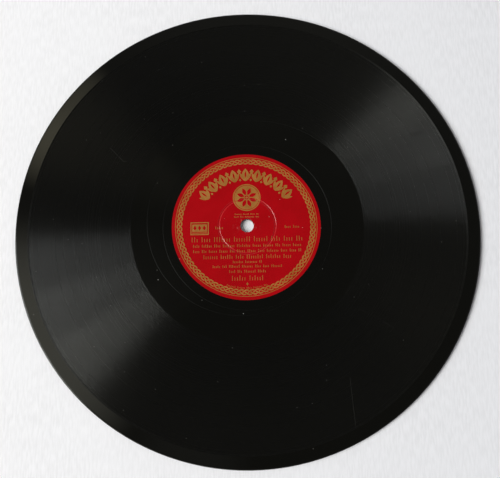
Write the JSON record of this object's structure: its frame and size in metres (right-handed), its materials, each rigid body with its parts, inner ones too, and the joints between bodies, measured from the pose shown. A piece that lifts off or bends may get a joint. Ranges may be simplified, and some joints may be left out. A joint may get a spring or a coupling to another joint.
{
  "type": "shellac record",
  "caption": "Flat black shellac gramophone disc with a fine groove on both faces, a round red paper label pressed into each, and a central hole for the turntable spindle.",
  "frame": {"origin": "on the axis of the spindle hole, at the level of the lower face", "axes": "+Z along the hole's axis, out of the upper face; +X to the right and +Y to the top of the upper label as it is read"},
  "size_m": [0.25, 0.25, 0.0022],
  "materials": {
    "shellac": "gloss",
    "core": "satin",
    "sheet_paper": "matte",
    "label_paper": "satin"
  },
  "bodies": {
    "root": {"core": "core", "paper_sheet_top": "sheet_paper", "paper_sheet_bottom": "sheet_paper", "playing_face_top": "shellac", "playing_face_bottom": "shellac", "label_top": "label_paper", "label_bottom": "label_paper"}
  },
  "joints": []
}
